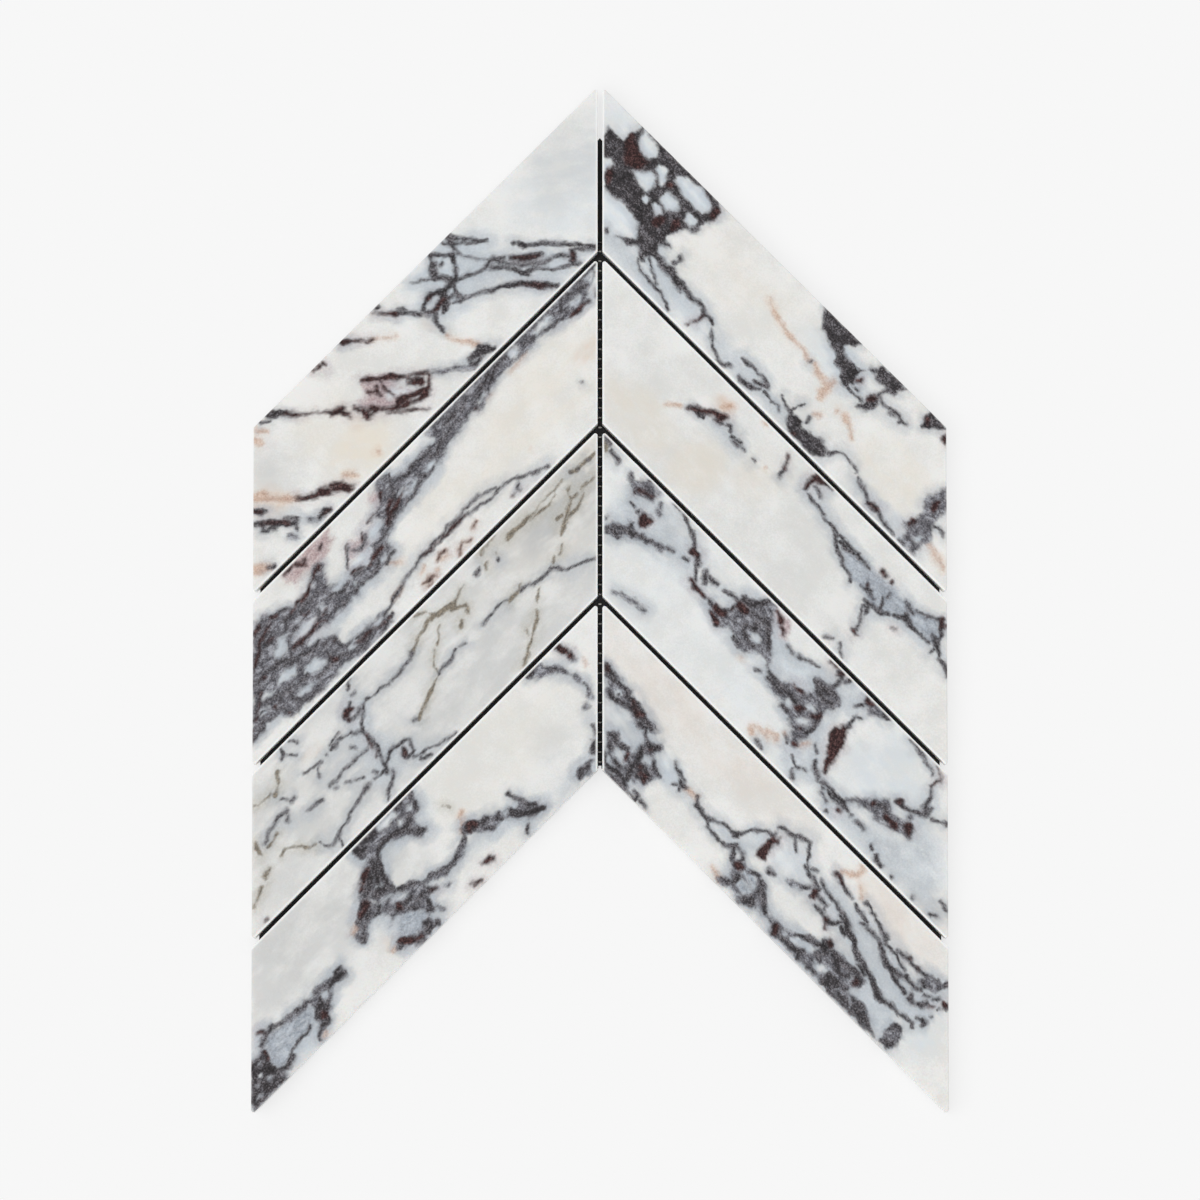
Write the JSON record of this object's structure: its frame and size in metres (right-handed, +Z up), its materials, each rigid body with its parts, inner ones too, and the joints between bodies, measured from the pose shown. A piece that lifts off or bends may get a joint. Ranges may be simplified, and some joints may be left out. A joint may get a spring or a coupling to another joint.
{
  "type": "marble chevron mosaic tile sheet",
  "caption": "Chevron mosaic sheet of veined white marble strips on a resin-bound glass mesh, with open grout joints and a notch for the next sheet.",
  "frame": {"origin": "under the middle of the sheet, on the plane that the mesh backing lies on", "axes": "+Y along the sheet to the tip of the chevron, +X to the right, +Z up out of the polished face"},
  "size_m": [0.2894, 0.428, 0.0108],
  "materials": {
    "marble": "honed",
    "mesh_resin": "matte"
  },
  "bodies": {
    "root": {"left_strip_1": "marble", "left_strip_2": "marble", "left_strip_3": "marble", "left_strip_4": "marble", "right_strip_1": "marble", "right_strip_2": "marble", "right_strip_3": "marble", "right_strip_4": "marble", "mesh_backing": "mesh_resin"}
  },
  "joints": []
}
